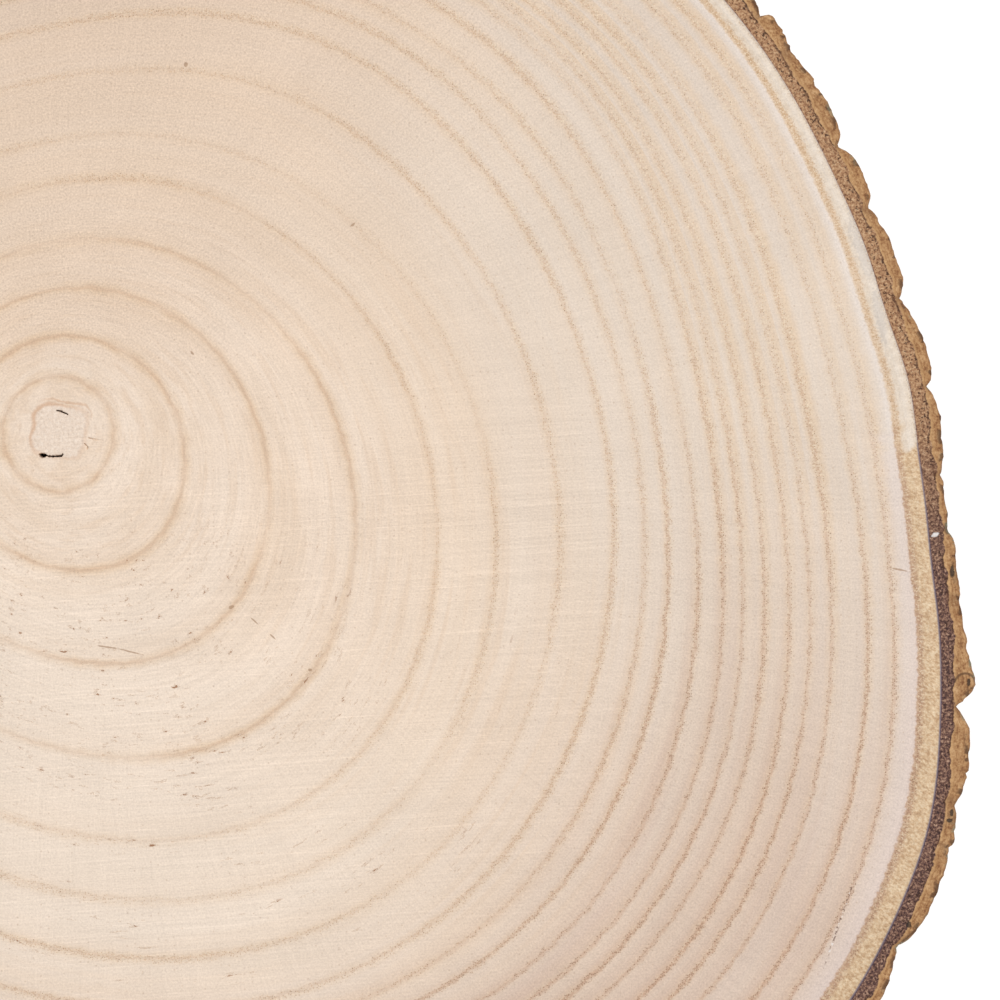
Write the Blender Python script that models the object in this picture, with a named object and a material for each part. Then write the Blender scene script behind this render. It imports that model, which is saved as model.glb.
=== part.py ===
"""A wood slice: one crosscut disc of a young hardwood trunk, with its bark still on.

The trunk grew faster on one side, so its pith lies off the middle and every ring bulges that way.
The bark has split into upright plates with furrows between them. Units are metres, +Z is up, and
the origin is in the middle of the underside.
"""

import math
import random

import bpy
import numpy

THICKNESS = 0.025

# From the pith to the outside of the wood, every 30 degrees anticlockwise from +X.
WOOD_REACH = (0.1455, 0.136, 0.1255, 0.124, 0.1195, 0.125, 0.131, 0.136, 0.143, 0.1485, 0.159, 0.1645)

# The bark that is left under the deepest furrows.
FURROW_BARK = 0.0024

# The plates round the widest side: the degrees at which each starts, how far the furrow there and
# then the plate's crest stand out over the deepest furrows, and the share of the plate's width at
# which its crest is. The last furrow starts the other plates.
WIDE_SIDE_PLATES = (
    (-31.5, 0.0001, 0.0032, 0.75),
    (-25.0, 0.0026, 0.0032, 0.4),
    (-22.5, 0.0024, 0.0034, 0.5),
    (-17.0, 0.0009, 0.0034, 0.22),
    (-10.5, 0.0013, 0.0016, 0.5),
    (-6.3, 0.0002, 0.0011, 0.4),
    (-2.8, 0.0008, 0.0028, 0.8),
    (3.0, 0.0018, 0.0032, 0.25),
    (9.0, 0.0010, 0.0027, 0.35),
    (15.4, 0.0012, 0.0024, 0.5),
    (20.1, 0.0003, 0.0023, 0.3),
    (27.5, 0.0012, 0.0023, 0.8),
)
WIDE_SIDE_END = 30.6

# The other plates, whose widths in degrees, furrows, crests and their places lie between these.
PLATE_WIDTHS = (4.5, 12.0)
FURROW_HEIGHTS = (0.0, 0.0014)
PLATE_HEIGHTS = (0.0018, 0.0033)
PLATE_CRESTS = (0.2, 0.8)
PLATE_SEED = 7

STEPS_PER_PLATE = 8
PLATE_FLATNESS = 3.0

WOOD_COLOUR = (0.78, 0.64, 0.49, 1.0)
WOOD_ROUGHNESS = 0.75


def clear_scene():
    for found in list(bpy.data.objects):
        bpy.data.objects.remove(found, do_unlink=True)


def around(values, angle):
    """The smooth closed curve through values that stand at equal turns from +X, read at an angle."""
    waves = numpy.fft.rfft(values) / len(values)
    waves[1:-1] *= 2
    turns = numpy.arange(len(waves))
    return float((waves * numpy.exp(1j * turns * angle)).real.sum())


def bark_plates():
    """Each plate as its two ends' angles and furrow heights, then its crest's height and place."""
    draw = random.Random(PLATE_SEED)
    plates = list(WIDE_SIDE_PLATES)
    full_turn = plates[0][0] + 360
    furrow = WIDE_SIDE_END
    while furrow < full_turn - PLATE_WIDTHS[0]:
        ranges = (FURROW_HEIGHTS, PLATE_HEIGHTS, PLATE_CRESTS)
        plates.append((furrow, *(draw.uniform(*between) for between in ranges)))
        furrow += draw.uniform(*PLATE_WIDTHS)
    next_furrows = [plate[:2] for plate in plates[1:]] + [(full_turn, plates[0][1])]
    return [
        (math.radians(start), math.radians(end), low, next_low, high, crest)
        for (start, low, high, crest), (end, next_low) in zip(plates, next_furrows)
    ]


def plate_rise(share, crest):
    """How far up a plate's face is at this share of its width: steep at both furrows, flat on top."""
    side = (crest - share) / crest if share < crest else (share - crest) / (1 - crest)
    return 1 - side**PLATE_FLATNESS


def outline():
    """The slice's edge seen from above, measured from the pith."""
    points = []
    for start, end, low, next_low, high, crest in bark_plates():
        for step in range(STEPS_PER_PLATE):
            share = step / STEPS_PER_PLATE
            angle = start + (end - start) * share
            furrow = low if share < crest else next_low
            plate = furrow + (high - furrow) * plate_rise(share, crest)
            reach = around(WOOD_REACH, angle) + FURROW_BARK + plate
            points.append((reach * math.cos(angle), reach * math.sin(angle)))
    return numpy.array(points)


def wood_material():
    material = bpy.data.materials.new("pale sapwood")
    material.use_nodes = True
    shader = material.node_tree.nodes["Principled BSDF"]
    shader.inputs["Base Color"].default_value = WOOD_COLOUR
    shader.inputs["Roughness"].default_value = WOOD_ROUGHNESS
    shader.inputs["Metallic"].default_value = 0.0
    return material


def wood_slice(collection):
    """A flat filled outline as thick as the slice, moved so that the middle of its box is at the origin."""
    points = outline()
    middle = (points.min(axis=0) + points.max(axis=0)) / 2
    curve = bpy.data.curves.new("wood_slice", "CURVE")
    curve.dimensions = "2D"
    curve.fill_mode = "BOTH"
    curve.extrude = THICKNESS / 2
    edge = curve.splines.new("POLY")
    edge.points.add(len(points) - 1)
    for point, place in zip(edge.points, points - middle):
        point.co = (place[0], place[1], 0.0, 1.0)
    edge.use_cyclic_u = True
    curve.materials.append(wood_material())
    part = bpy.data.objects.new("wood_slice", curve)
    part.location = (0.0, 0.0, THICKNESS / 2)
    collection.objects.link(part)


clear_scene()
parts = bpy.data.collections.new("wood slice")
bpy.context.scene.collection.children.link(parts)
wood_slice(parts)
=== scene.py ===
"""A wood slice lying flat: the bare sawn face of a young hardwood trunk inside its rough bark.

The solid in the frame gives the outline and the thickness. The wood and the bark are modelled over
it as they grew: yearly rings round an off-centre pith, then the bark that split into plates.
"""

import math
import random

import bpy
import numpy
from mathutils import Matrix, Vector, noise


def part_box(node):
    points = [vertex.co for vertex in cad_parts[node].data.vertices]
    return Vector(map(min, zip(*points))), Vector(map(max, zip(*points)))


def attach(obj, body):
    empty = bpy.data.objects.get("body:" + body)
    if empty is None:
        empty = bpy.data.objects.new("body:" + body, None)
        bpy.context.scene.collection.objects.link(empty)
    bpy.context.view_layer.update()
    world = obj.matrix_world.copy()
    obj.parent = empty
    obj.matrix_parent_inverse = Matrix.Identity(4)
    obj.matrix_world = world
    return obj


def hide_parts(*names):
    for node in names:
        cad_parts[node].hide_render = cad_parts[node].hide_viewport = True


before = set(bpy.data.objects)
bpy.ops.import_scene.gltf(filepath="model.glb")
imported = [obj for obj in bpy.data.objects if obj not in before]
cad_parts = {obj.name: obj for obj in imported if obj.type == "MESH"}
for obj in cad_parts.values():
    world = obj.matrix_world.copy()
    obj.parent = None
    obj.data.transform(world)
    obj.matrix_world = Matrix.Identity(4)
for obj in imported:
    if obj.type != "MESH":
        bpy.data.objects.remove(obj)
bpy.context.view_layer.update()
LOWEST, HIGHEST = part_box("wood_slice")
UNDERSIDE = LOWEST.z
TOP = HIGHEST.z

# ---------------------------------------------------------------------------------------------
# The studio: a white table top in even white light, with one broad lamp high on the right that
# turns the bark's plates. The camera looks straight down on the slice's wider side.
# ---------------------------------------------------------------------------------------------

TABLE_SIZE = 12.0
TABLE_GAP = 0.0002
TABLE_COLOUR = (0.96, 0.96, 0.96, 1.0)
TABLE_ROUGHNESS = 0.9
TABLE_GLOW = 0.12
WHITE = (1.0, 1.0, 1.0, 1.0)
SKY_STRENGTH = 0.72
LAMP_PLACE = (1.0, 0.55, 1.5)
LAMP_SIZE = 1.4
LAMP_POWER = 21.0
CAMERA_LENS = 100.0
VIEW_WIDTH = 0.170
VIEW_FROM_CORNER = (0.08056, 0.14028)
VIEW_MIDDLE = (HIGHEST.x - VIEW_FROM_CORNER[0], HIGHEST.y - VIEW_FROM_CORNER[1])

bpy.context.scene.view_settings.view_transform = "Standard"

bpy.ops.object.select_all(action="DESELECT")
bpy.ops.mesh.primitive_plane_add(size=TABLE_SIZE, location=(0.0, 0.0, UNDERSIDE - TABLE_GAP))
table = bpy.context.object
table.name = "table_top"
table_paint = bpy.data.materials.new("white table")
table_paint.use_nodes = True
table_shader = table_paint.node_tree.nodes["Principled BSDF"]
table_shader.inputs["Base Color"].default_value = TABLE_COLOUR
table_shader.inputs["Roughness"].default_value = TABLE_ROUGHNESS
table_shader.inputs["Specular IOR Level"].default_value = 0.0
table_shader.inputs["Emission Color"].default_value = WHITE
table_shader.inputs["Emission Strength"].default_value = TABLE_GLOW
table.data.materials.append(table_paint)

sky = bpy.data.worlds.new("white studio")
sky.use_nodes = True
sky.node_tree.nodes["Background"].inputs["Color"].default_value = WHITE
sky.node_tree.nodes["Background"].inputs["Strength"].default_value = SKY_STRENGTH
bpy.context.scene.world = sky

lamp_data = bpy.data.lights.new("broad lamp", "AREA")
lamp_data.shape = "DISK"
lamp_data.size = LAMP_SIZE
lamp_data.energy = LAMP_POWER
lamp = bpy.data.objects.new("broad lamp", lamp_data)
lamp.location = LAMP_PLACE
lamp.rotation_euler = Vector(LAMP_PLACE).to_track_quat("Z", "Y").to_euler()
bpy.context.scene.collection.objects.link(lamp)

camera_data = bpy.data.cameras.new("camera")
camera_data.lens = CAMERA_LENS
camera = bpy.data.objects.new("camera", camera_data)
camera.location = (*VIEW_MIDDLE, TOP + VIEW_WIDTH * CAMERA_LENS / camera_data.sensor_width)
bpy.context.scene.collection.objects.link(camera)
bpy.context.scene.camera = camera

# ---------------------------------------------------------------------------------------------
# The wood: pale hardwood, sawn across the grain and sanded. Each year's ring ends in a line of
# open pores. The trunk grew faster to the right and below, so the pith is off the middle. It is
# turned as a flat disc whose loops are the rings, and each loop is then set out to its real reach.
# ---------------------------------------------------------------------------------------------

MM = 0.001
DIRECTIONS = 12
WIDEST = 11
PITH_FROM_CORNER = (155.86 * MM, 128.68 * MM)
PITH = (HIGHEST.x - PITH_FROM_CORNER[0], HIGHEST.y - PITH_FROM_CORNER[1])

# How far the wood had reached from the pith after some of its years, in mm, every 30 degrees
# anticlockwise from +X. The last row is the whole wood, out to the bark.
REACHES = MM * numpy.array(
    (
        (0.0,) * DIRECTIONS,
        (9.7, 9.7, 9.5, 9.5, 9.3, 9.3, 9.3, 9.5, 9.9, 10.3, 10.2, 9.9),
        (47.8, 40.6, 35.5, 32.1, 30.3, 31.1, 34.5, 40.5, 47.6, 53.4, 59.5, 56.4),
        (71.7, 62.4, 55.3, 49.3, 47.0, 48.0, 53.0, 61.0, 70.0, 77.4, 85.2, 81.8),
        (92.8, 85.2, 78.7, 69.0, 67.0, 69.0, 74.0, 81.0, 88.5, 96.2, 104.4, 101.8),
        (110.5, 105.4, 97.4, 89.9, 86.5, 89.1, 94.0, 100.5, 107.4, 114.6, 123.4, 123.6),
        (145.5, 136.0, 125.5, 124.0, 119.5, 125.0, 131.0, 136.0, 143.0, 148.5, 159.0, 164.5),
    )
)

# Where the newest wood swells past that round: the middle of each swelling and its half spread in
# degrees, and its height in mm. A hollow has a negative height.
SWELLINGS = ((-24.0, 5.0, 0.85), (-8.5, 3.5, -0.55), (3.5, 4.0, 1.2), (12.5, 4.5, 0.6))
SWELLING_START = 152 * MM

# Where each year ended, in mm along the widest direction. The last is the newest wood.
YEAR_ENDS = MM * numpy.array(
    (9.8, 23.8, 40.2, 56.8, 71.5, 82.1, 92.8, 101.9, 108.1, 112.9, 118.8)
    + (123.8, 127.5, 131.5, 136.2, 140.0, 144.1, 150.8, 155.8, 160.8, 164.5)
)

AROUND_WOOD = 360
MERGE_DISTANCE = 1e-6
PITH_GRID = 0.00015
PITH_GRID_END = 0.0065
FACE_GRID = 0.0025
BAKE_FACE = 0.80
BAKE_UNDERSIDE = 0.35
BAKE_MARGIN = 0.004
LEVEL = 0.9
BELOW_SPLITS = 4 * MM


def around(values, angles):
    """The smooth closed curve through values that stand at equal turns from +X, at the angles."""
    waves = numpy.fft.rfft(values) / len(values)
    waves[1:-1] *= 2
    turns = numpy.arange(len(waves))
    return (waves * numpy.exp(1j * numpy.outer(angles, turns))).real.sum(axis=1)


def swelling_at(angles):
    """How far the newest wood swells at these angles."""
    swelling = numpy.zeros(len(angles))
    for middle, spread, height in SWELLINGS:
        swelling += height * MM * numpy.exp(-(((numpy.degrees(angles) - middle) / spread) ** 2))
    return swelling


def reach_of(growth, angles):
    """How far from the pith the wood stood at these angles when its widest side was at growth."""
    steps = numpy.array([around(row, angles) for row in REACHES])
    knots = REACHES[:, WIDEST]
    row = numpy.clip(numpy.searchsorted(knots, growth, side="right") - 1, 0, len(knots) - 2)
    share = (growth - knots[row]) / (knots[row + 1] - knots[row])
    columns = numpy.arange(len(angles))
    reach = steps[row, columns] * (1 - share) + steps[row + 1, columns] * share
    newness = numpy.clip((growth - SWELLING_START) / (knots[-1] - SWELLING_START), 0, 1)
    return reach + newness * swelling_at(angles)


def turned(name, profile, steps):
    """A solid turned round the Z axis from (radius, height) points, with its faces outward."""
    mesh = bpy.data.meshes.new(name)
    corners = [(radius, 0.0, height) for radius, height in profile]
    mesh.from_pydata(corners, [(i, i + 1) for i in range(len(corners) - 1)], [])
    made = bpy.data.objects.new(name, mesh)
    bpy.context.scene.collection.objects.link(made)
    bpy.ops.object.select_all(action="DESELECT")
    made.select_set(True)
    bpy.context.view_layer.objects.active = made
    lathe = made.modifiers.new("lathe", "SCREW")
    lathe.steps = lathe.render_steps = steps
    lathe.use_merge_vertices = True
    lathe.merge_threshold = MERGE_DISTANCE
    bpy.ops.object.modifier_apply(modifier=lathe.name)
    bpy.ops.object.mode_set(mode="EDIT")
    bpy.ops.mesh.select_all(action="SELECT")
    bpy.ops.mesh.remove_doubles(threshold=MERGE_DISTANCE)
    bpy.ops.mesh.normals_make_consistent(inside=False)
    bpy.ops.object.mode_set(mode="OBJECT")
    return made


def vertices_of(mesh):
    places = numpy.empty(len(mesh.vertices) * 3)
    mesh.vertices.foreach_get("co", places)
    return places.reshape(-1, 3)


def corners_of(mesh):
    """The vertex and the face of each face corner."""
    vertex = numpy.empty(len(mesh.loops), numpy.int32)
    mesh.loops.foreach_get("vertex_index", vertex)
    sizes = numpy.empty(len(mesh.polygons), numpy.int32)
    mesh.polygons.foreach_get("loop_total", sizes)
    return vertex, numpy.repeat(numpy.arange(len(sizes)), sizes)


def face_mean(values, vertex, face):
    """The mean of the vertices' values over each face, given at each of its corners."""
    return (numpy.bincount(face, values[vertex]) / numpy.bincount(face))[face]


def add_map(mesh, name, across, along):
    """A UV map of two values for each face corner."""
    layer = mesh.uv_layers.new(name=name, do_init=False)
    layer.uv.foreach_set("vector", numpy.stack([across, along], 1).astype("f").ravel())


def add_values(mesh, name, values):
    """An attribute of one value for each vertex."""
    attribute = mesh.attributes.new(name, "FLOAT", "POINT")
    attribute.data.foreach_set("value", values.astype("f"))


def near_path(places, path):
    """How far each place is from a path of straight runs, and how far along the path, from 0 to 1."""
    best = numpy.full(len(places), numpy.inf)
    along = numpy.zeros(len(places))
    for run, (start, end) in enumerate(zip(path, path[1:])):
        start = numpy.array(start) * MM
        run_line = numpy.array(end) * MM - start
        share = numpy.clip((places - start) @ run_line / (run_line @ run_line), 0, 1)
        away = numpy.hypot(*(places - start - share[:, None] * run_line).T)
        nearer = away < best
        best[nearer] = away[nearer]
        along[nearer] = (run + share[nearer]) / (len(path) - 1)
    return best, along


# The disc's loops follow the rings: close together at the pith, then even, with one at each ring.
face_loops = set(numpy.arange(PITH_GRID, PITH_GRID_END, PITH_GRID).round(6))
wood_loops = {PITH_GRID_END}
for start, end in zip((PITH_GRID_END, *YEAR_ENDS), YEAR_ENDS):
    wood_loops |= set(numpy.linspace(start, end, 2 + int((end - start) / FACE_GRID)))
wood = turned(
    "wood",
    [(0.0, TOP)]
    + [(growth, TOP) for growth in sorted(face_loops | wood_loops)]
    + [(growth, UNDERSIDE) for growth in sorted(wood_loops, reverse=True)]
    + [(0.0, UNDERSIDE)],
    AROUND_WOOD,
)

spun = vertices_of(wood.data)
growth = numpy.hypot(spun[:, 0], spun[:, 1])
angle = numpy.arctan2(spun[:, 1], spun[:, 0])
reach = reach_of(growth, angle)
from_pith = numpy.stack([reach * numpy.cos(angle), reach * numpy.sin(angle)], 1)
add_values(wood.data, "growth", growth / MM)

# The years map holds how far each point is from the ring inside it and from the ring outside it.
vertex, face = corners_of(wood.data)
rings = numpy.array((0.0, *YEAR_ENDS))
year = numpy.searchsorted(rings, face_mean(growth, vertex, face), side="right") - 1
year = numpy.clip(year, 0, len(rings) - 2)
since = reach[vertex] - reach_of(rings[year], angle[vertex])
until = reach_of(rings[year + 1], angle[vertex]) - reach[vertex]
add_map(wood.data, "years", since / MM, until / MM)

# Drying has split the pith along two of its edges, and opened two hairline checks beside it. Each
# is a path in mm from the pith, with its half width and its depth in mm, and how much painted shade it
# gets.
SPLITS = (
    (((-3.0, -3.85), (-2.5, -4.05), (-1.9, -4.0)), 0.26, 3.0, 1.0),
    (((-2.0, -4.05), (-1.0, -4.2), (0.1, -4.15), (0.7, -4.1), (1.0, -3.75)), 0.10, 1.5, 0.9),
    (((-0.1, 3.6), (0.6, 3.5), (1.2, 3.2), (1.9, 2.95)), 0.09, 1.2, 0.85),
    (((5.3, -1.0), (6.1, -1.25), (7.0, -1.4)), 0.06, 0.3, 0.35),
    (((4.6, -1.9), (5.2, -2.6), (5.0, -3.3)), 0.05, 0.3, 0.3),
)
split_shade = numpy.zeros(len(spun))
on_face = spun[:, 2] > TOP - MM
for path, half_width, deep, shade_painted_in in SPLITS:
    away, along = near_path(from_pith, path)
    width = half_width * MM * (1.0 - 0.6 * abs(2 * along - 1) ** 3)
    opened = numpy.clip(1.5 - away / width, 0, 1) * on_face
    spun[:, 2] -= opened * deep * MM
    split_shade = numpy.maximum(split_shade, opened * shade_painted_in)
# How much painted shade goes into each point of the splits, for the wood's colour.
add_values(wood.data, "split", split_shade)

spun[:, :2] = from_pith + PITH
wood.data.vertices.foreach_set("co", spun.ravel())
for polygon in wood.data.polygons:
    polygon.use_smooth = abs(polygon.normal.z) > LEVEL
wood.data.update()

# For the baked colours: the sawn face takes most of the sheet, the underside a corner of it, and
# the wall against the bark a thin ring round the underside.
middle = (spun[:, :2].min(0) + spun[:, :2].max(0)) / 2
spread = (spun[:, :2] - middle) / numpy.ptp(spun[:, :2], axis=0).max()
height = spun[vertex, 2]
top_face = face_mean(spun[:, 2], vertex, face) > TOP - BELOW_SPLITS
wall = numpy.ptp(growth) - face_mean(growth, vertex, face) < MERGE_DISTANCE
outward = numpy.stack([numpy.cos(angle), numpy.sin(angle)], 1)[vertex]
size = numpy.where(top_face, BAKE_FACE, BAKE_UNDERSIDE)[:, None]
centre = numpy.where(top_face, BAKE_FACE / 2 + BAKE_MARGIN, 1 - BAKE_UNDERSIDE / 2 - 3 * BAKE_MARGIN)
sheet = centre[:, None] + size * spread[vertex]
sheet += outward * (wall * (height > TOP - MM) * 2 * BAKE_MARGIN)[:, None]
add_map(wood.data, "OFBake", sheet[:, 0], sheet[:, 1])


class Shade:
    """One socket of the material in hand. Sums on it add Math nodes, and made adds any other node."""

    tree = None

    def __init__(self, socket):
        self.socket = socket

    @classmethod
    def made(cls, kind, settings, sockets, output=0):
        """A new node with its settings, then its sockets' values or links. Gives one output."""
        node = cls.tree.nodes.new(kind)
        for name, value in settings.items():
            if name == "stops":
                ramp = node.color_ramp
                ramp.elements[0].position, ramp.elements[0].color = value[0]
                ramp.elements[1].position, ramp.elements[1].color = value[-1]
                for place, colour in value[1:-1]:
                    ramp.elements.new(place).color = colour
            else:
                setattr(node, name, value)
        for name, value in sockets.items():
            if isinstance(value, Shade):
                cls.tree.links.new(value.socket, node.inputs[name])
            else:
                node.inputs[name].default_value = value
        return cls(node.outputs[output])

    def sum(self, operation, *others):
        return Shade.made("ShaderNodeMath", {"operation": operation}, dict(enumerate((self, *others))))

    def __add__(self, other):
        return self.sum("ADD", other)

    __radd__ = __add__

    def __sub__(self, other):
        return self.sum("SUBTRACT", other)

    def __rsub__(self, other):
        return Shade.made("ShaderNodeMath", {"operation": "SUBTRACT"}, {0: other, 1: self})

    def __mul__(self, other):
        return self.sum("MULTIPLY", other)

    __rmul__ = __mul__

    def __truediv__(self, other):
        return self.sum("DIVIDE", other)

    def __abs__(self):
        return self.sum("ABSOLUTE")

    def ramp(self, low, high):
        """0 below low and 1 above high with a smooth rise between, or the other way round."""
        places = {"Value": self, "From Min": low, "From Max": high}
        return Shade.made("ShaderNodeMapRange", {"interpolation_type": "SMOOTHSTEP"}, places)

    def turned_into(self, *stops):
        """The colour that the value has on its way through stops of (value, colour)."""
        return Shade.made("ShaderNodeValToRGB", {"stops": stops}, {"Fac": self})


def material_named(name):
    """A new material, whose nodes the next Shades go into, and its shader's sockets."""
    material = bpy.data.materials.new(name)
    material.use_nodes = True
    Shade.tree = material.node_tree
    return material, material.node_tree.nodes["Principled BSDF"].inputs


def vector(operation, *values, output=0):
    return Shade.made("ShaderNodeVectorMath", {"operation": operation}, dict(enumerate(values)), output)


def joined(x, y, z=0.0):
    return Shade.made("ShaderNodeCombineXYZ", {}, {"X": x, "Y": y, "Z": z})


def parts_of(value):
    return [Shade.made("ShaderNodeSeparateXYZ", {}, {"Vector": value}, axis) for axis in range(3)]


def grain(places, scale, detail, roughness=0.5):
    """Soft noise from 0 to 1, with scale lumps to each unit of places."""
    sockets = {"Vector": places, "Scale": scale, "Detail": detail, "Roughness": roughness}
    return Shade.made("ShaderNodeTexNoise", {}, sockets)


def blended(share, colour, other):
    """The colour with a share of the other laid over it."""
    return Shade.made("ShaderNodeMix", {"data_type": "RGBA"}, {0: share, 6: colour, 7: other}, 2)


# How much brighter than its own colour a level face is in the studio.
STUDIO_LIGHT = 1.14


def linear(level):
    level /= 255
    return level / 12.92 if level <= 0.04045 else ((level + 0.055) / 1.055) ** 2.4


def seen(red, green, blue):
    """The paint for a colour as it looks under the studio's light, from 0 to 255."""
    return (*(linear(level) / STUDIO_LIGHT for level in (red, green, blue)), 1.0)


def length_of(value):
    return vector("LENGTH", value, output="Value")


def mesh_value(name):
    return Shade.made("ShaderNodeAttribute", {"attribute_name": name}, {}, "Fac")


def map_parts(name):
    return parts_of(Shade.made("ShaderNodeUVMap", {"uv_map": name}, {}))


def cells_of(places, scale):
    """Flat cells: how far a point is from the middle of its cell, and two draws that each cell makes."""
    settings = {"voronoi_dimensions": "2D"}
    sockets = {"Vector": places, "Scale": scale}
    middle = Shade.made("ShaderNodeTexVoronoi", settings, sockets, "Distance")
    draws = parts_of(Shade.made("ShaderNodeTexVoronoi", settings, sockets, "Color"))
    return middle, draws[0], draws[1]


def from_the_pith():
    """The point in mm from the pith at the underside, its parts, and its direction's east and north."""
    object_place = Shade.made("ShaderNodeTexCoord", {}, {}, "Object")
    place = vector("MULTIPLY", vector("SUBTRACT", object_place, (*PITH, 0.0)), (1 / MM,) * 3)
    x, y, high = parts_of(place)
    east, north, _ = parts_of(vector("NORMALIZE", joined(x, y)))
    return place, x, y, high, east, north


material, shader = material_named("sawn wood")
place, x, y, high, east, north = from_the_pith()
grown = mesh_value("growth")
since, until, _ = map_parts("years")


def facing(degrees, spread):
    """1 in one direction from the pith, falling to 0 at spread degrees to either side."""
    way = math.radians(degrees)
    return (east * math.cos(way) + north * math.sin(way)).ramp(math.cos(math.radians(spread)), 1.0)


# The two sawn faces are 25 mm apart in the trunk, so their patterns are set apart too.
APART = 40
GROWTH_SPAN = 165.0
on_face = high.ramp(12.0, 13.0)
flat = joined(x, y, on_face * APART)
turn = north.sum("ARCTAN2", east)
degrees = turn * math.degrees(1)

# Broad colour: cream at the pith, a little pinker and greyer year by year, in soft rings of its own.
colour = (grown / GROWTH_SPAN).turned_into(
    (0.0, seen(238, 218, 199)),
    (0.34, seen(238, 217, 197)),
    (0.47, seen(233, 212, 191)),
    (0.62, seen(228, 208, 190)),
    (0.78, seen(223, 205, 188)),
    (0.95, seen(223, 207, 193)),
    (1.0, seen(226, 212, 199)),
)
soft_rings = grain(joined(east * 1.1, north * 1.1, grown * 0.13), 1.0, 3.0, 0.55)
colour = blended(soft_rings.ramp(0.42, 0.66) * 0.55, colour, seen(228, 204, 180))
colour = blended(soft_rings.ramp(0.48, 0.3) * 0.35, colour, seen(239, 222, 205))
fine_rings = grain(joined(east * 2.6, north * 2.6, grown * 0.55), 1.0, 2.0, 0.6)
colour = blended(fine_rings.ramp(0.5, 0.7) * 0.45, colour, seen(226, 200, 175))

# The trunk's sides differ: pinker above and out to the lower right, greyer at the right, paler below.
upper_side = facing(95, 90) * grown.ramp(10, 32) * grown.ramp(180, 128)
colour = blended(upper_side * 0.6, colour, seen(224, 199, 176))
outer_side = facing(-50, 55) * grown.ramp(100, 124)
colour = blended(outer_side * 0.52, colour, seen(214, 192, 176))
outermost_side = facing(-42, 52) * grown.ramp(120, 136)
colour = blended(outermost_side * 0.32, colour, seen(206, 182, 165))
pink_bands = grain(joined(east * 2.2, north * 2.2, grown * 0.2), 1.0, 2.0).ramp(0.48, 0.66)
colour = blended(pink_bands * outer_side * 0.35, colour, seen(204, 175, 160))
lower_side = facing(-100, 70) * grown.ramp(120, 85) * grown.ramp(14, 40)
colour = blended(lower_side * 0.75, colour, seen(240, 223, 206))
pale_side = facing(11, 46) * grown.ramp(72, 104)
colour = blended(pale_side * 0.5, colour, seen(226, 213, 199))
grey_side = facing(38, 32) * grown.ramp(112, 136)
colour = blended(grey_side * 0.55, colour, seen(215, 201, 189))
top_side = facing(88, 28) * grown.ramp(88, 106)
colour = blended(top_side * 0.2, colour, seen(204, 180, 160))

# The rings: late wood darkening up to a soft line, yellower wood after it, and in the older rings
# a row of open pores along the line.
waver = (grain(flat, 0.45, 3.0) - 0.5) * 1.3
nearer_next = (since - until).ramp(-0.01, 0.01)
beyond = since * (1 - nearer_next) - until * nearer_next + waver
older = grown.ramp(38, 84)
dark_side = facing(-50, 62) * grown.ramp(95, 125)
newest = grown.ramp(116, 132)
strength_drift = grain(joined(east * 1.6, north * 1.6, grown * 0.21), 1.0, 2.0).ramp(0.32, 0.66)
ring_strength = strength_drift * (0.65 - 0.18 * newest) + (0.35 + 0.18 * newest)
late_wood = until.ramp(6.0, 0.4) * 0.3 * ring_strength * (1 - 0.5 * older)
colour = blended(late_wood, colour, seen(225, 197, 170))
pink_side = facing(-52, 50) * grown.ramp(95, 125)
colour = blended(until.ramp(2.8, 0.0) * pink_side * ring_strength * 0.6, colour, seen(197, 166, 147))
yellow_side = newest * (1 - pink_side)
shoulder = beyond.ramp(-1.5, 0.0) * (beyond + 0.5 * dark_side - 0.8 * yellow_side).ramp(1.8, 0.1)
shoulder = shoulder * ring_strength
shoulder_share = 0.72 - 0.3 * older + 0.16 * yellow_side
shoulder_colour = blended(yellow_side, seen(222, 192, 160), seen(224, 194, 160))
colour = blended(shoulder * shoulder_share, colour, shoulder_colour)
line = beyond.ramp(-0.5, -0.05) * beyond.ramp(0.65, 0.1) * ring_strength
colour = blended(line * (0.34 - 0.14 * older + 0.5 * dark_side), colour, seen(192, 154, 128))

# The last year of wood stained ochre on one side under the bark, and stayed pale on the other. The
# rim counts mm of growth from the last ring line.
LAST_LINE = 160.0
rim = grown - LAST_LINE + waver * 0.5 + (grain(flat, 1.5, 3.0) - 0.5) * 1.1
edge_noise = (grain(flat, 0.25, 3.0) - 0.5) * 9
ochre_side = (degrees + edge_noise).ramp(0.6, -1.6) * degrees.ramp(-150, -118)
ochre_side = ochre_side + degrees.ramp(108, 122) * degrees.ramp(168, 150)
band = rim.ramp(0.0, 0.5)
band_dots = grain(joined(east * 400, north * 400, grown * 1.7), 1.0, 2.0, 0.6)
band_blotches = grain(flat, 0.7, 4.0, 0.7)
ochre = (band_dots * 0.6 + band_blotches * 0.4).turned_into(
    (0.37, seen(180, 143, 106)), (0.5, seen(210, 180, 144)), (0.63, seen(228, 205, 173))
)
colour = blended(band * ochre_side * 0.96, colour, ochre)
pale_band = band_blotches.turned_into((0.34, seen(208, 194, 177)), (0.6, seen(230, 219, 205)))
colour = blended(rim.ramp(1.0, 1.9) * (1 - ochre_side) * 0.55, colour, pale_band)
band_line = rim.ramp(-0.3, 0.3) * rim.ramp(1.9, 0.6) * (0.55 + band_dots.ramp(0.55, 0.42) * 0.45)
colour = blended(band_line * ochre_side * 0.8, colour, seen(180, 143, 120))
last_line = rim.ramp(-0.2, 0.7) * rim.ramp(2.0, 1.1) * (1 - ochre_side)
colour = blended(last_line * 0.4, colour, seen(216, 184, 146))
colour = blended(last_line * band_dots.ramp(0.54, 0.44) * 0.45, colour, seen(186, 148, 108))
bloom = rim.ramp(-5.5, -0.1) * rim.ramp(0.2, -0.1) * ochre_side
colour = blended(bloom * 0.5, colour, seen(226, 211, 205))
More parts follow.
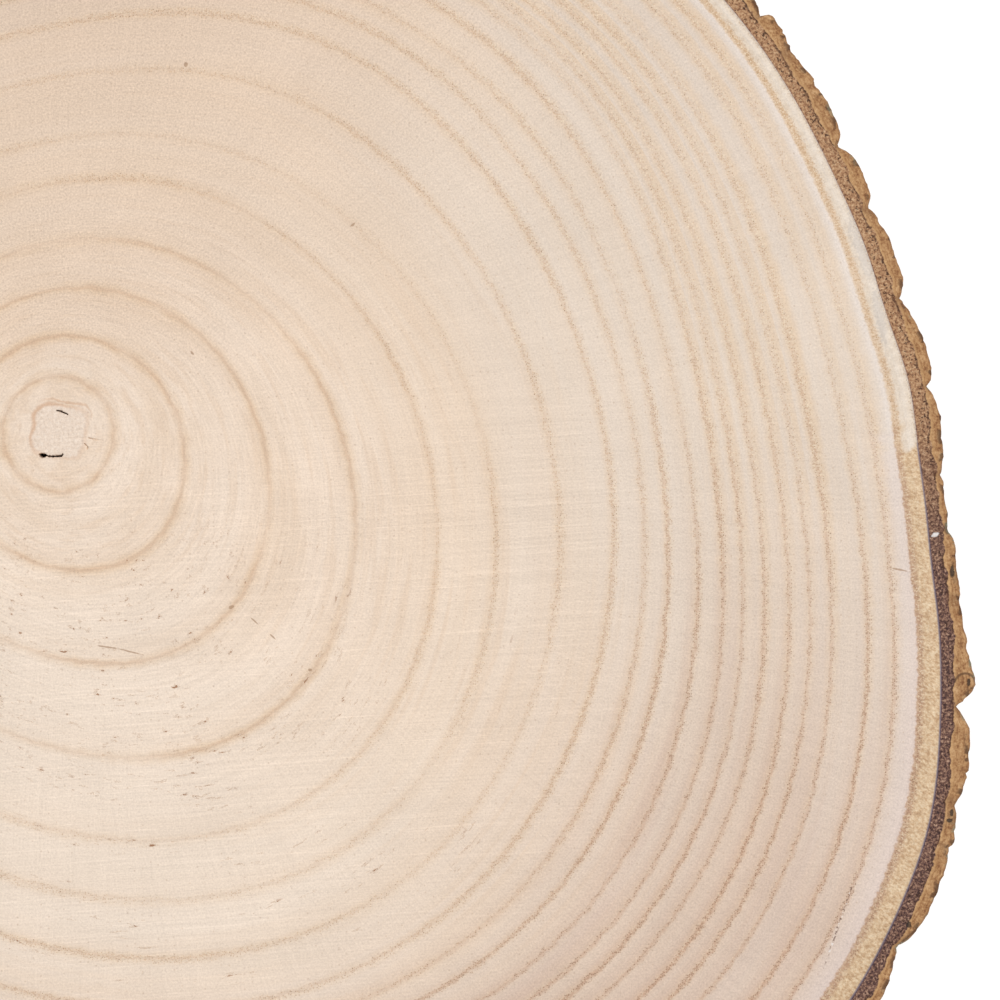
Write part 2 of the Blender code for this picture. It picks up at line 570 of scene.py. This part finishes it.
frost = rim.ramp(-1.8, -0.3) * rim.ramp(0.2, -0.2) * (1 - ochre_side)
colour = blended(frost * 0.45, colour, seen(233, 224, 219))
cambium = until.ramp(0.32, 0.08) * grown.ramp(163.0, 163.4)
colour = blended(cambium * (0.25 + 0.6 * ochre_side), colour, seen(126, 116, 130))


def blot(right, up, half_length, half_width, lean=0.0):
    """1 inside an oval blot with a ragged edge, in mm from the pith, leaning anticlockwise."""
    cosine = math.cos(math.radians(lean))
    sine = math.sin(math.radians(lean))
    along = ((x - right) * cosine + (y - up) * sine) / half_length
    across = ((y - up) * cosine - (x - right) * sine) / half_width
    return (length_of(joined(along, across)) + raggedness).ramp(1.2, 0.7) * on_face


def blots(places):
    """1 inside any of the blots."""
    return sum(blot(*settings) for settings in places).sum("MINIMUM", 1.0)


raggedness = (grain(flat, 1.4, 2.0) - 0.5) * 1.6
grey_stain = blot(137.0, 32.0, 7.0, 1.6, 108) + blot(139.8, 20.0, 5.0, 0.9, 100)
colour = blended(grey_stain * 0.5, colour, seen(196, 187, 180))

# Fine pores all over, close together along the rings, and a few larger specks.
cell_middle, cell_draw, other_draw = cells_of(flat, 3.3)
pore_row = beyond.ramp(-0.8, -0.2) * (beyond + 0.4 * pink_side).ramp(1.6, 0.2) * older * ring_strength
pore_row = pore_row * (1 - rim.ramp(1.2, 1.8) * ochre_side * 0.9)
ring_pores = (cell_draw + 0.5 * pore_row).ramp(0.9, 1.08) * cell_middle.ramp(0.52, 0.18)
ring_pores = ring_pores * pore_row.ramp(0.1, 0.5)
open_pores = other_draw.ramp(0.93, 0.98) * cell_middle.ramp(0.4, 0.15) * pore_row.ramp(0.3, 0.7)
loose_pores = cell_middle.ramp(0.34, 0.14) * other_draw.ramp(0.86, 0.94)
loose_pores = loose_pores * (0.3 + 0.7 * since.ramp(3.5, 0.5))
pore_colour = blended(dark_side, seen(188, 150, 110), seen(146, 112, 88))
colour = blended(ring_pores * (0.43 + 0.27 * dark_side), colour, pore_colour)
colour = blended(open_pores * 0.66, colour, seen(114, 82, 58))
colour = blended(loose_pores * 0.32, colour, seen(184, 156, 130))
bright_cells = pore_row * cell_draw.ramp(0.36, 0.14) * cell_middle.ramp(0.55, 0.25)
colour = blended(bright_cells * (0.45 + 0.2 * pale_side), colour, seen(243, 226, 198))
speck_middle, speck_draw, _ = cells_of(flat, 0.75)
specks = (speck_middle + (grain(flat, 4.0, 1.0) - 0.5) * 0.1).ramp(0.15, 0.08) * speck_draw.ramp(0.7, 1.0)
colour = blended(specks * 0.34 * (1 - band), colour, seen(184, 156, 132))

# Where the saw tore the softer years: small brown flecks in arcs on the lower side.
torn_grain = grain(joined(turn * 25, grown * 1.15), 1.0, 3.0, 0.64)
torn_places = grain(joined(turn * 4.6, grown * 0.2), 1.0, 2.0)
torn_places = torn_places - 0.1 * grown.ramp(58, 74)
torn_side = facing(-75, 72) * grown.ramp(12, 24) * grown.ramp(104, 96) * on_face
torn_side = torn_places.ramp(0.47, 0.54) * torn_side
torn_fibres = torn_grain.ramp(0.61, 0.635) * torn_side
torn_edges = abs(torn_grain - 0.62).ramp(0.026, 0.01) * torn_side
torn_through = torn_grain.ramp(0.66, 0.68) * torn_side
colour = blended(torn_fibres * 0.4, colour, seen(243, 228, 212))
colour = blended(torn_edges * 0.44, colour, seen(176, 136, 98))
colour = blended(torn_through * 0.85, colour, seen(150, 96, 50))

# Small knots, then nicks and short cracks, and one long crack along a ring, painted dark as the shade in
# it and broken by pale fibres. Each is right and up from the pith, half its length, half its width, and
# its lean.
KNOTS = (
    (21.9, 62.4, 0.3, 0.45),
    (50.3, 35.2, 0.2, 0.55, -50),
    (43.0, -40.5, 0.3, 0.25),
    (29.6, -29.8, 0.45, 0.3, 30),
    (23.0, 13.4, 0.18, 0.45, 40),
)
NICKS = (
    (8.5, -36.6, 1.9, 0.16, -8),
    (12.5, -37.4, 2.0, 0.12, -14),
    (33.6, -32.2, 0.9, 0.14, -42),
    (36.6, -34.8, 0.8, 0.12, -42),
    (143.0, -23.4, 2.1, 0.16, -12),
)
colour = blended(blots(KNOTS + NICKS) * 0.65, colour, seen(158, 122, 92))
broken = grain(flat, 1.5, 2.0)
crack = blot(133.1, -83.2, 8.5, 0.2, 71)
# Painted shade: the long crack is painted dark, as the shade in it.
colour = blended(crack * broken.ramp(0.5, 0.56) * 0.8, colour, seen(112, 84, 72))
colour = blended(crack * broken.ramp(0.42, 0.36) * 0.7, colour, seen(236, 230, 226))

# The pith: a rounded square of soft greyish cells with a browner skin, split on two sides.
PITH_LEAN = math.radians(-9)
PITH_MIDDLE = (0.3, 0.1)
pith_x = (x - PITH_MIDDLE[0]) * math.cos(PITH_LEAN) + (y - PITH_MIDDLE[1]) * math.sin(PITH_LEAN)
pith_y = (y - PITH_MIDDLE[1]) * math.cos(PITH_LEAN) - (x - PITH_MIDDLE[0]) * math.sin(PITH_LEAN)
square = (pith_x.sum("POWER", 4.0) + pith_y.sum("POWER", 4.0)).sum("POWER", 0.25)
square = square + (grain(flat, 0.5, 3.0) - 0.5) * 1.5
pith_speckle = grain(flat, 1.7, 4.0, 0.7)
pith_colour = pith_speckle.turned_into(
    (0.32, seen(222, 201, 182)), (0.5, seen(234, 214, 196)), (0.7, seen(241, 225, 209))
)
colour = blended(square.ramp(4.7, 4.2), colour, pith_colour)
skin_side = 0.35 + 0.65 * facing(140, 110)
skin = square.ramp(3.9, 4.45) * square.ramp(5.1, 4.5) * skin_side
skin = skin + square.ramp(4.95, 5.15) * square.ramp(5.55, 5.25) * facing(70, 60) * 0.8
colour = blended(skin * 0.8, colour, seen(212, 174, 144))

# The sanded grain: fine rays out from the pith, fine rings, saw lines right across, and a speckle.
rays = grain(joined(east * 70, north * 70, grown * 0.05), 1.0, 4.0, 0.65) - 0.5
fine_rays = grain(joined(east * 300, north * 300, grown * 0.1), 1.0, 2.0) - 0.5
growth_lines = grain(joined(east * 5, north * 5, grown * 2.3), 1.0, 3.0, 0.6) - 0.5
SAW_LEAN = math.radians(4)
saw_along = x * math.cos(SAW_LEAN) + y * math.sin(SAW_LEAN)
saw_across = y * math.cos(SAW_LEAN) - x * math.sin(SAW_LEAN)
saw_lines = grain(joined(saw_along * 0.02, saw_across * 2.9, on_face * APART), 1.0, 3.0, 0.65) - 0.5
scratches = grain(joined(saw_along * 0.012, saw_across * 0.9, on_face * 1.5 * APART), 1.0, 2.0)
scratches = abs(scratches - 0.5).ramp(0.016, 0.0) * saw_lines.ramp(-0.03, 0.05)
saw_side = (y + (grain(flat, 0.03, 1.0) - 0.5) * 60).ramp(12, -14) * 0.8 + 0.2
saw_side = saw_side * (1 - 0.6 * grown.ramp(90, 125))
saw_tone = (saw_lines * 0.24 + scratches * 0.08) * saw_side
speckle = grain(flat, 2.9, 2.0, 0.65) - 0.5
patches = grain(flat, 0.05, 3.0, 0.55) - 0.5
tone = 1 + rays * 0.08 + fine_rays * 0.12 + growth_lines * (0.3 - 0.18 * older)
salt = (cell_draw - other_draw) * cell_middle.ramp(0.55, 0.2)
tone = tone + saw_tone + speckle * (0.44 + 0.3 * upper_side + 0.12 * dark_side)
tone = tone + salt * 0.05 + patches * 0.14
colour = vector("MULTIPLY", colour, joined(tone, tone, tone - speckle * 0.05))

# Painted shade: the splits and checks are painted dark, as the shade down in them.
colour = blended(mesh_value("split").ramp(0.15, 0.8), colour, seen(62, 40, 28))

relief = speckle * 0.5 + saw_lines * 0.6 - ring_pores * 0.8 - torn_through
bump = {"Height": relief, "Strength": 0.35, "Distance": 0.00012}
Shade.tree.links.new(colour.socket, shader["Base Color"])
Shade.tree.links.new((0.62 + speckle * 0.3 + ring_pores * 0.2).socket, shader["Roughness"])
Shade.tree.links.new(Shade.made("ShaderNodeBump", {}, bump).socket, shader["Normal"])
shader["Specular IOR Level"].default_value = 0.3
wood.data.materials.append(material)

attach(wood, "root")
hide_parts("wood_slice")

# ---------------------------------------------------------------------------------------------
# The bark: a ring left on by the saw. Next to the wood is a dark fibrous layer of even thickness,
# and outside it corky bark that split along the trunk into plates as the tree swelled. The plates
# go round the slice one after another, each with its own height and crest.
# ---------------------------------------------------------------------------------------------

FURROW_BARK = 2.4 * MM
# Where each plate of the wider side starts, in degrees, how far the furrow there and then its crest
# stand out over the deepest furrows, in mm, and where its crest is across it. Those of the rest of
# the round are drawn by chance.
WIDE_SIDE_PLATES = (
    (-31.5, 0.1, 3.2, 0.75),
    (-25.0, 2.6, 3.2, 0.4),
    (-22.5, 2.4, 3.4, 0.5),
    (-17.0, 0.9, 3.4, 0.22),
    (-10.5, 1.3, 1.6, 0.5),
    (-6.3, 0.2, 1.1, 0.4),
    (-2.8, 0.8, 2.8, 0.8),
    (3.0, 1.8, 3.2, 0.25),
    (9.0, 1.0, 2.7, 0.35),
    (15.4, 1.2, 2.4, 0.5),
    (20.1, 0.3, 2.3, 0.3),
    (27.5, 1.2, 2.3, 0.8),
)
WIDE_SIDE_END = 30.6
PLATE_WIDTHS = (4.5, 12.0)
FURROW_HEIGHTS = (0.0, 1.4)
PLATE_HEIGHTS = (1.8, 3.3)
PLATE_CRESTS = (0.2, 0.8)
PLATE_SEED = 7
PLATE_FLATNESS = 3.0
# A knob on one plate and the worn hollow beside it: middle and half spread in degrees, height in mm.
KNOBS = ((-15.1, 0.42, 0.5), (-16.4, 0.6, -0.8), (-12.6, 1.7, -1.0))
# How far its lumps and scales stand out, and how deep bites, gaps, weather and crumbling go in.
LUMPS_OUT = 0.4 * MM
SCALES_OUT = 0.12 * MM
BITES_IN = 0.65 * MM
GAPS_IN = 0.32 * MM
WEATHERED_IN = 0.3 * MM
CRUMBLED_IN = 0.5 * MM
LEAST_BARK = 0.7 * FURROW_BARK
AROUND_BARK = 1800
TOP_ROWS = 12
BOTTOM_ROWS = 5
SIDE_ROWS = 30
TUCK = 0.1 * MM
SUNK = 0.06 * MM
TURNING_RADIUS = 0.140
TURNING_DEPTH = 0.005
WANDER = math.radians(0.45)
CRACKS_SEED = 21
CRACKS = 2
CUT_SHARE = 0.4999
SMOOTH_UNDER = math.radians(50)
BAKE_STRIPS = 5
BAKE_SIDE = 0.002
BAKE_GAP = 0.01
HIDDEN_RUN = 0.003


def bark_plates():
    """The plates in order: starts, heights of the furrows there, crest heights, crest places."""
    draw = random.Random(PLATE_SEED)
    plates = list(WIDE_SIDE_PLATES)
    furrow = WIDE_SIDE_END
    while furrow < plates[0][0] + 360 - PLATE_WIDTHS[0]:
        ranges = (FURROW_HEIGHTS, PLATE_HEIGHTS, PLATE_CRESTS)
        plates.append((furrow, *(draw.uniform(*between) for between in ranges)))
        furrow += draw.uniform(*PLATE_WIDTHS)
    return numpy.array(plates).T


bark_rows = (
    [(step / TOP_ROWS, 0.0) for step in range(TOP_ROWS + 1)]
    + [(1.0, step / SIDE_ROWS) for step in range(1, SIDE_ROWS)]
    + [(1 - step / BOTTOM_ROWS, 1.0) for step in range(BOTTOM_ROWS + 1)]
    + [(0.0, 0.0)]
)
thickness = TOP - UNDERSIDE
bark = turned(
    "bark",
    [(TURNING_RADIUS + out * TURNING_DEPTH, TOP - down * thickness) for out, down in bark_rows],
    AROUND_BARK,
)
spun = vertices_of(bark.data)
angle = numpy.arctan2(spun[:, 1], spun[:, 0])
out_share = (numpy.hypot(spun[:, 0], spun[:, 1]) - TURNING_RADIUS) / TURNING_DEPTH
down_share = (TOP - spun[:, 2]) / thickness

# The furrows wander a little on their way down, and cross cracks part each plate into scales.
wood_edge = reach_of(numpy.full(len(spun), YEAR_ENDS[-1]), angle)
ring = numpy.stack([wood_edge * numpy.cos(angle), wood_edge * numpy.sin(angle), spun[:, 2]], 1) / MM
drift = numpy.array([noise.noise(Vector(p) / 9.0) + 0.5 * noise.noise(Vector(p) / 3.5) for p in ring])
drift *= WANDER * numpy.minimum(1, down_share * 2.5)
starts, furrows, heights, crests = bark_plates()
starts = numpy.radians(starts)
widths = numpy.diff(numpy.append(starts, starts[0] + math.tau))
way = (angle + drift - starts[0]) % math.tau
plate = numpy.searchsorted(starts - starts[0], way, side="right") - 1
across = numpy.clip((way - (starts - starts[0])[plate]) / widths[plate], 0, 1)
crest = crests[plate]
slope = numpy.where(across < crest, (crest - across) / crest, (across - crest) / (1 - crest))
rise = 1 - slope**PLATE_FLATNESS

draw = random.Random(CRACKS_SEED)
for index in range(len(starts)):
    for _ in range(CRACKS):
        height_at = draw.uniform(0.12, 0.95)
        lean = draw.uniform(-0.14, 0.14)
        sharpness = draw.uniform(25, 45)
        away = (down_share - height_at - lean * (across - 0.5)) * sharpness
        depth_there = draw.uniform(0.3, 0.75)
        rise -= (plate == index) * depth_there * numpy.exp(-(away**2)) * (rise > 0)
rise = numpy.clip(rise, -0.1, 1)


def rough(apart, size, stretch, octaves):
    """Rough noise about -1 to 1 round the ring, its lumps size mm across and stretched upright."""
    lumps = (ring + apart) / (size, size, size * stretch)
    return numpy.array([noise.fractal(Vector(lump), 0.8, 2.0, octaves) for lump in lumps])


lumpy = rough(0, 3.2, 2.6, 3)
scaly = rough(50, 1.2, 1.3, 3)
bitten = numpy.clip(rough(70, 1.7, 1.5, 2) - 0.28, 0, 0.6)
flaky = numpy.array([noise.voronoi(Vector(p))[0][:2] for p in ring / (2.6, 2.6, 4.5)])
gaps = numpy.exp(-(((flaky[:, 1] - flaky[:, 0]) / 0.1) ** 2))
furrow_height = numpy.where(across < crest, furrows[plate], numpy.roll(furrows, -1)[plate])
bark_out = FURROW_BARK + MM * (furrow_height + (heights[plate] - furrow_height) * rise)
weathered = numpy.minimum(1, down_share * 12) * numpy.minimum(1, (1 - down_share) * 12)
bark_out += LUMPS_OUT * lumpy + SCALES_OUT * scaly - BITES_IN * bitten
for middle, spread, height in KNOBS:
    bark_out += height * MM * numpy.exp(-(((numpy.degrees(angle) - middle) / spread) ** 4))
bark_out -= swelling_at(angle)
bark_out -= WEATHERED_IN * weathered
bark_out -= GAPS_IN * gaps * weathered * numpy.clip(rise + 0.2, 0, 1)
bark_out = numpy.maximum(bark_out, LEAST_BARK)

# The sawn faces of the bark lie a little under the wood's, and crumble at their outer edge.
cut_face = numpy.abs(down_share - 0.5) > CUT_SHARE
crumbled = cut_face * numpy.clip((out_share - 0.8) / 0.2, 0, 1) ** 2 * (0.45 + 0.4 * scaly)
uneven = numpy.clip(rough(90, 0.9, 1.0, 2) + 0.4, 0, 1) * (out_share > 0.05)
sink = SUNK * (1 + uneven) * cut_face
sink += numpy.clip(crumbled, 0.1, 1) * CRUMBLED_IN * (out_share > 0.8) * cut_face
radius = wood_edge + out_share * bark_out - TUCK * (out_share < 0.01)
spun[:, 0] = PITH[0] + radius * numpy.cos(angle)
spun[:, 1] = PITH[1] + radius * numpy.sin(angle)
spun[:, 2] -= numpy.where(down_share < 0.5, sink, -sink)
bark.data.vertices.foreach_set("co", spun.ravel())
bark.data.polygons.foreach_set("use_smooth", [True] * len(bark.data.polygons))
bark.data.update()
bpy.ops.object.select_all(action="DESELECT")
bark.select_set(True)
bpy.context.view_layer.objects.active = bark
bpy.ops.object.shade_smooth_by_angle(angle=SMOOTH_UNDER)

add_values(bark.data, "rise", rise)
add_values(bark.data, "gaps", gaps * weathered)
add_values(bark.data, "out", out_share * bark_out / MM)
add_values(bark.data, "under", (1 - out_share) * bark_out / MM)
add_values(bark.data, "lip", out_share**4 * cut_face)
vertex, face = corners_of(bark.data)
face_down = face_mean(down_share, vertex, face)
on_skin = (numpy.abs(face_down - 0.5) < CUT_SHARE) & (face_mean(out_share, vertex, face) > 0.5)
add_map(bark.data, "skin", on_skin.astype(float), down_share[vertex])

# For the baked colours the ring is cut into strips that lie one above the other on the sheet.
turns = (angle / math.tau)[vertex] % 1.0
face_turn = face_mean((angle / math.tau) % 1.0, vertex, face)
first_corners = numpy.flatnonzero(numpy.diff(face, prepend=-1))
face_high = numpy.maximum.reduceat(turns, first_corners)[face]
face_low = numpy.minimum.reduceat(turns, first_corners)[face]
over_start = face_high - face_low > 0.5
turns = turns + (over_start & (turns < 0.5))
strip = numpy.where(over_start, BAKE_STRIPS - 1, numpy.floor(face_turn * BAKE_STRIPS))
run = numpy.where(down_share < 0.5, out_share, 2 - out_share) * TURNING_DEPTH + down_share * thickness
run_length = 2 * TURNING_DEPTH + thickness + HIDDEN_RUN
inner_wall = face_mean(out_share, vertex, face) < 0.001
corner_run = numpy.where(inner_wall & (down_share[vertex] < 0.5), run_length, run[vertex])
strip_across = BAKE_SIDE + (1 - 2 * BAKE_SIDE) * (turns * BAKE_STRIPS - strip)
strip_up = (strip + BAKE_GAP + (1 - 2 * BAKE_GAP) * corner_run / run_length) / BAKE_STRIPS
add_map(bark.data, "OFBake", strip_across, strip_up)

material, shader = material_named("rough bark")
place, x, y, high, east, north = from_the_pith()
degrees = north.sum("ARCTAN2", east) * math.degrees(1)
out = mesh_value("out")
under = mesh_value("under")
plate_rise = mesh_value("rise")
outside, _, _ = map_parts("skin")

# The sawn face of the bark. Its inner layer is darker and purpler on the lower side.
strokes = grain(joined(east * 150, north * 150, out * 3.4), 1.0, 3.0, 0.7)
fleck = grain(place, 2.4, 3.0, 0.7)
plum_side = (degrees + (grain(place, 0.12, 2.0) - 0.5) * 14).ramp(3.0, -9.0) * degrees.ramp(-160, -130)
inner_pale = fleck.turned_into(
    (0.33, seen(112, 74, 50)),
    (0.44, seen(164, 121, 88)),
    (0.56, seen(190, 149, 112)),
    (0.68, seen(214, 180, 144)),
)
inner_plum = fleck.turned_into(
    (0.35, seen(58, 38, 38)),
    (0.46, seen(100, 71, 64)),
    (0.56, seen(142, 106, 88)),
    (0.7, seen(198, 164, 140)),
)
colour = blended(plum_side, inner_pale, inner_plum)
layer_edge = out + (grain(place, 0.3, 3.0) - 0.5) * 2.6
dark_cells = grain(place, 2.1, 2.0, 0.6) + layer_edge.ramp(0.4, 1.9) * 0.06
colour = blended(dark_cells.ramp(0.62, 0.68) * 0.85, colour, seen(60, 36, 26))
colour = blended(strokes.ramp(0.59, 0.66) * 0.6, colour, seen(70, 44, 34))

# The cork outside it is layered and mottled, with a dark seam and a pale line where it begins.
cork_lines = grain(joined(east * 45, north * 45, under * 3.2), 1.0, 3.0, 0.6)
mottle = grain(place, 0.6, 4.0, 0.7)
cork = (cork_lines * 0.3 + mottle * 0.45 + fleck * 0.25).turned_into(
    (0.38, seen(128, 84, 52)),
    (0.47, seen(166, 121, 80)),
    (0.55, seen(189, 146, 102)),
    (0.64, seen(212, 172, 128)),
)
colour = blended(layer_edge.ramp(2.3, 2.5), colour, cork)
seam = abs(layer_edge - 2.2).ramp(0.22, 0.05) * grain(place, 0.6, 2.0).ramp(0.46, 0.56)
colour = blended(seam * 0.7, colour, seen(70, 42, 28))
pale_line = layer_edge.ramp(2.3, 2.45) * layer_edge.ramp(2.9, 2.6)
colour = blended(pale_line * 0.4, colour, seen(214, 172, 122))
# Painted shade: the outer cork is darkened where the plates dip into furrows and cross cracks, as the
# shade in the notches.
colour = blended(plate_rise.ramp(0.6, -0.05) * out.ramp(1.4, 2.2) * 0.45, colour, seen(104, 66, 42))

# On the cork are one white chip, two soft brown spots, the curved scar of the knob, and small holes
# painted dark as the shade in them.
CHIP = (149.3, -17.5, 0.62, 0.36, 25)
BROWN_SPOTS = ((152.7, -24.6, 0.6, 1.3), (152.2, -65.4, 0.9, 1.5))
SCAR_MIDDLE = (154.4, -42.9)
SCAR_RADIUS = 1.8
SHADED_HOLES = (
    (152.2, -23.8, 0.35, 1.0),
    (152.1, -64.8, 0.28, 0.6),
    (151.7, -66.1, 0.45, 0.35),
    (155.0, -42.6, 0.28, 0.65),
    (144.8, -83.8, 0.4, 0.55),
)
on_face = high.ramp(12.0, 12.3)
raggedness = (fleck - 0.5) * 1.1
colour = blended(blot(*CHIP), colour, seen(232, 226, 222))
colour = blended(blots(BROWN_SPOTS) * 0.5, colour, seen(136, 104, 74))
scar_x = x - SCAR_MIDDLE[0]
scar_y = y - SCAR_MIDDLE[1]
scar = abs(length_of(joined(scar_x, scar_y)) - SCAR_RADIUS).ramp(0.3, 0.1) * scar_y.ramp(0.0, 0.6)
colour = blended(scar * on_face * 0.7, colour, seen(84, 58, 40))
# Painted shade: the holes are painted dark, as the shade inside them.
shaded_holes = blots(SHADED_HOLES)
colour = blended(shaded_holes * 0.85, colour, seen(56, 46, 40))

# Its crumbled lip is darker, with a little lichen, and a thin bluish line parts bark from wood.
lip = mesh_value("lip")
colour = blended(lip.ramp(0.6, 1.0) * fleck.ramp(0.4, 0.5) * 0.6, colour, seen(112, 78, 52))
dark_lip = lip.ramp(0.25, 0.7) * grain(place, 0.45, 3.0).ramp(0.54, 0.6)
colour = blended(dark_lip * 0.75, colour, seen(76, 50, 34))
edge_lichen = lip.ramp(0.4, 0.9) * grain(place, 0.22, 2.0).ramp(0.58, 0.64) * fleck.ramp(0.45, 0.52)
colour = blended(edge_lichen * 0.8, colour, seen(122, 126, 108))
colour = blended(out.ramp(0.32, 0.08) * (0.4 + 0.4 * plum_side), colour, seen(88, 76, 94))

# The weathered outside: grey-brown crests, redder furrows and a few spots of lichen. The furrows and the
# cracks between flakes are darkened with painted shade.
weather = grain(vector("MULTIPLY", place, (0.35, 0.35, 0.14)), 1.0, 4.0, 0.6)
bark_skin = weather.turned_into(
    (0.3, seen(98, 72, 52)),
    (0.46, seen(138, 105, 78)),
    (0.58, seen(164, 130, 98)),
    (0.72, seen(186, 156, 124)),
)
bark_skin = blended(fleck.ramp(0.56, 0.7) * 0.45, bark_skin, seen(92, 64, 46))
bark_skin = blended(fleck.ramp(0.42, 0.3) * 0.35, bark_skin, seen(200, 172, 140))
# Painted shade with the furrows' own redder colour: the low parts of the plates are darkened.
bark_skin = blended(plate_rise.ramp(0.65, 0.1) * 0.75, bark_skin, seen(98, 62, 42))
# Painted shade: the gaps between flakes are painted dark, as the shade in them.
bark_skin = blended(mesh_value("gaps").ramp(0.15, 0.8) * 0.7, bark_skin, seen(66, 44, 32))
lichen = grain(place, 0.16, 3.0, 0.6).ramp(0.6, 0.66) * fleck.ramp(0.4, 0.5)
bark_skin = blended(lichen * 0.6, bark_skin, seen(158, 162, 138))
colour = blended(outside, colour, bark_skin)

relief = fleck * 0.6 - strokes * 0.5 - shaded_holes
bump = {"Height": relief, "Strength": 0.8, "Distance": 0.0004}
Shade.tree.links.new(colour.socket, shader["Base Color"])
Shade.tree.links.new((0.78 + (fleck - 0.5) * 0.3).socket, shader["Roughness"])
Shade.tree.links.new(Shade.made("ShaderNodeBump", {}, bump).socket, shader["Normal"])
shader["Specular IOR Level"].default_value = 0.25
bark.data.materials.append(material)

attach(bark, "root")
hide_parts("wood_slice")

bpy.ops.object.select_all(action="DESELECT")
